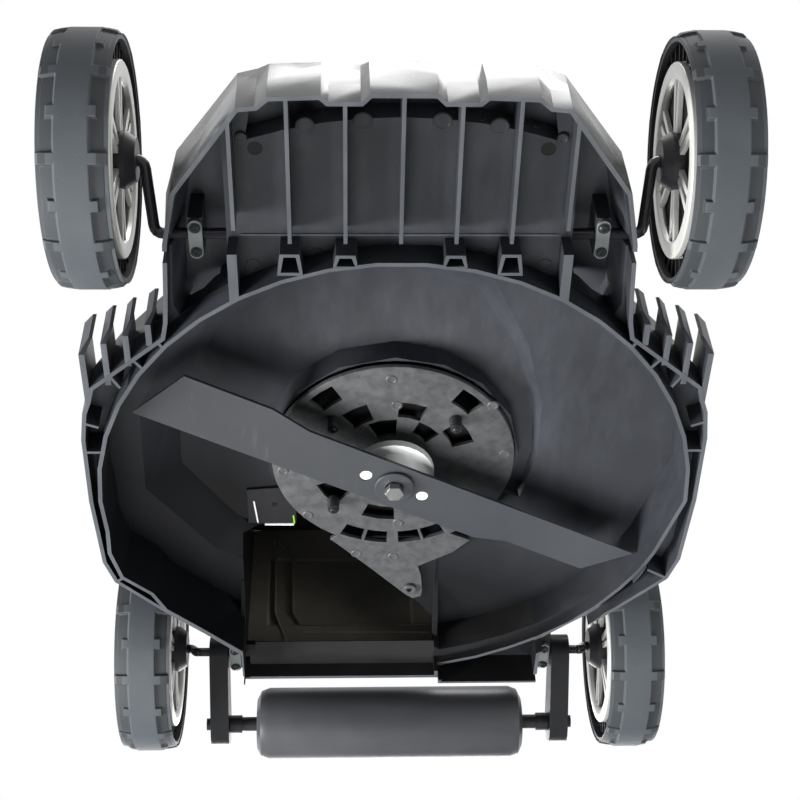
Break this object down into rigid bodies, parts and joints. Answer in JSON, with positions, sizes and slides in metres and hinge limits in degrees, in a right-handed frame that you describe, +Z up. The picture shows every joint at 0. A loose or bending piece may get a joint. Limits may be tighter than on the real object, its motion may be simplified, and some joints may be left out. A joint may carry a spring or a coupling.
{
  "type": "electric lawn mower",
  "caption": "Push lawn mower with a double-walled volute deck, bar blade, rear flap, rear roller and a folding tube handle.",
  "frame": {"origin": "on the ground under the middle of the whole machine, handle included", "axes": "+Z up, front towards -Y, the mower's left side towards +X"},
  "size_m": [0.53, 1.3534, 0.9794],
  "materials": {
    "deck_plastic": "fine grain",
    "hood_plastic": "satin",
    "handle_tube": "black powder coat",
    "green_plastic": "satin",
    "black_plastic": "fine grain",
    "flap_plastic": "fine grain",
    "tyre_rubber": "matt",
    "silver_trim": "silver lacquer",
    "painted_rod": "gloss black",
    "blade_steel": "grey paint",
    "bright_steel": "zinc plated",
    "white_plastic": "smooth",
    "motor_aluminium": "cast",
    "grip_foam": "foam",
    "red_plastic": "smooth"
  },
  "bodies": {
    "chassis": {"deck": "deck_plastic", "motor_plate": "deck_plastic", "motor_can": "motor_aluminium", "lower_bearing": "bright_steel", "upper_bearing": "bright_steel", "top_cover": "hood_plastic", "hood_trim": "green_plastic", "carry_handle": "black_plastic", "front_clamp_left": "bright_steel", "front_clamp_right": "bright_steel", "rear_clamp_left": "bright_steel", "rear_clamp_right": "bright_steel", "handle_bracket_left": "black_plastic", "handle_bracket_right": "black_plastic", "pivot_bolt_left": "bright_steel", "pivot_bolt_right": "bright_steel", "flap_pin": "bright_steel"},
    "front_axle": {"front_axle": "painted_rod"},
    "rear_axle": {"rear_axle": "painted_rod"},
    "roller_carrier": {"roller_arm_left": "deck_plastic", "roller_arm_right": "deck_plastic", "roller_shaft": "black_plastic"},
    "roller": {"roller": "black_plastic"},
    "rotor": {"motor_shaft": "bright_steel", "rotor_core": "bright_steel", "spacer_disc": "white_plastic", "blade": "blade_steel", "blade_washer": "bright_steel", "blade_bolt": "bright_steel"},
    "rear_flap": {"rear_flap": "flap_plastic"},
    "lower_handle": {"lower_handle": "handle_tube", "fold_bolt_left": "bright_steel", "fold_bolt_right": "bright_steel"},
    "upper_handle": {"upper_handle": "handle_tube", "grip": "grip_foam", "switch_box": "black_plastic", "mains_inlet": "black_plastic"},
    "bail": {"bail": "painted_rod"},
    "safety_button": {"safety_button": "red_plastic"},
    "pivot_lever_left": {"pivot_lever_left": "black_plastic"},
    "fold_lever_left": {"fold_lever_left": "black_plastic"},
    "pivot_lever_right": {"pivot_lever_right": "black_plastic"},
    "fold_lever_right": {"fold_lever_right": "black_plastic"},
    "wheel_front_left": {"tyre_front_left": "tyre_rubber", "wheel_front_left": "black_plastic", "trim_front_left": "silver_trim", "hub_cap_front_left": "silver_trim"},
    "wheel_front_right": {"tyre_front_right": "tyre_rubber", "wheel_front_right": "black_plastic", "trim_front_right": "silver_trim", "hub_cap_front_right": "silver_trim"},
    "wheel_rear_left": {"tyre_rear_left": "tyre_rubber", "wheel_rear_left": "black_plastic", "trim_rear_left": "silver_trim", "hub_cap_rear_left": "silver_trim"},
    "wheel_rear_right": {"tyre_rear_right": "tyre_rubber", "wheel_rear_right": "black_plastic", "trim_rear_right": "silver_trim", "hub_cap_rear_right": "silver_trim"}
  },
  "joints": [
    {"name": "front_axle_turn", "type": "hinge", "parent": "chassis", "child": "front_axle", "pos_m": [0, -0.53027, 0.068], "axis": [1, 0, 0], "range_deg": [-28, 26]},
    {"name": "rear_axle_turn", "type": "hinge", "parent": "chassis", "child": "rear_axle", "pos_m": [0, -0.02897, 0.071], "axis": [1, 0, 0], "range_deg": [-26, 28]},
    {"name": "roller_carrier_turn", "type": "hinge", "parent": "rear_axle", "child": "roller_carrier", "pos_m": [0, -0.02897, 0.071], "axis": [1, 0, 0], "range_deg": [-13, 12]},
    {"name": "roller_spin", "type": "hinge", "parent": "roller_carrier", "child": "roller", "pos_m": [0, 0.03903, 0.0356], "axis": [1, 0, 0], "continuous": true},
    {"name": "blade_spin", "type": "hinge", "parent": "chassis", "child": "rotor", "pos_m": [0, -0.26867, 0.056], "axis": [0, 0, 1], "continuous": true},
    {"name": "flap_lift", "type": "hinge", "parent": "chassis", "child": "rear_flap", "pos_m": [0, -0.01347, 0.268], "axis": [1, 0, 0], "range_deg": [0, 100], "stiffness_Nm_per_rad": 0.2, "springref_deg": -34.38},
    {"name": "lower_handle_fold", "type": "hinge", "parent": "chassis", "child": "lower_handle", "pos_m": [0, -0.07667, 0.19], "axis": [1, 0, 0], "range_deg": [0, 124]},
    {"name": "upper_handle_fold", "type": "hinge", "parent": "lower_handle", "child": "upper_handle", "pos_m": [0, 0.32623, 0.60722], "axis": [1, 0, 0], "range_deg": [-165, 0]},
    {"name": "bail_pull", "type": "hinge", "parent": "upper_handle", "child": "bail", "pos_m": [0, 0.60549, 0.89639], "axis": [1, 0, 0], "range_deg": [-22, 0], "stiffness_Nm_per_rad": 0.3, "springref_deg": 34.38},
    {"name": "safety_button_press", "type": "slide", "parent": "upper_handle", "child": "safety_button", "axis": [0, -0.7193, 0.6947], "range_m": [-0.005, 0], "stiffness_N_per_m": 300, "springref_m": 0.004},
    {"name": "pivot_lever_left_turn", "type": "hinge", "parent": "chassis", "child": "pivot_lever_left", "pos_m": [0.205, -0.07667, 0.19], "axis": [1, 0, 0], "range_deg": [0, 120]},
    {"name": "fold_lever_left_turn", "type": "hinge", "parent": "lower_handle", "child": "fold_lever_left", "pos_m": [0.231, 0.32623, 0.60722], "axis": [1, 0, 0], "range_deg": [0, 120]},
    {"name": "pivot_lever_right_turn", "type": "hinge", "parent": "chassis", "child": "pivot_lever_right", "pos_m": [-0.205, -0.07667, 0.19], "axis": [1, 0, 0], "range_deg": [0, 120]},
    {"name": "fold_lever_right_turn", "type": "hinge", "parent": "lower_handle", "child": "fold_lever_right", "pos_m": [-0.231, 0.32623, 0.60722], "axis": [1, 0, 0], "range_deg": [0, 120]},
    {"name": "front_left_roll", "type": "hinge", "parent": "front_axle", "child": "wheel_front_left", "pos_m": [0.2371, -0.57667, 0.1], "axis": [1, 0, 0], "continuous": true},
    {"name": "front_right_roll", "type": "hinge", "parent": "front_axle", "child": "wheel_front_right", "pos_m": [-0.2371, -0.57667, 0.1], "axis": [1, 0, 0], "continuous": true},
    {"name": "rear_left_roll", "type": "hinge", "parent": "rear_axle", "child": "wheel_rear_left", "pos_m": [0.2371, -0.00027, 0.1], "axis": [1, 0, 0], "continuous": true},
    {"name": "rear_right_roll", "type": "hinge", "parent": "rear_axle", "child": "wheel_rear_right", "pos_m": [-0.2371, -0.00027, 0.1], "axis": [1, 0, 0], "continuous": true}
  ],
  "couplings": [
    {"joint": "roller_carrier_turn", "follows": "rear_axle_turn", "ratio": -0.45}
  ]
}
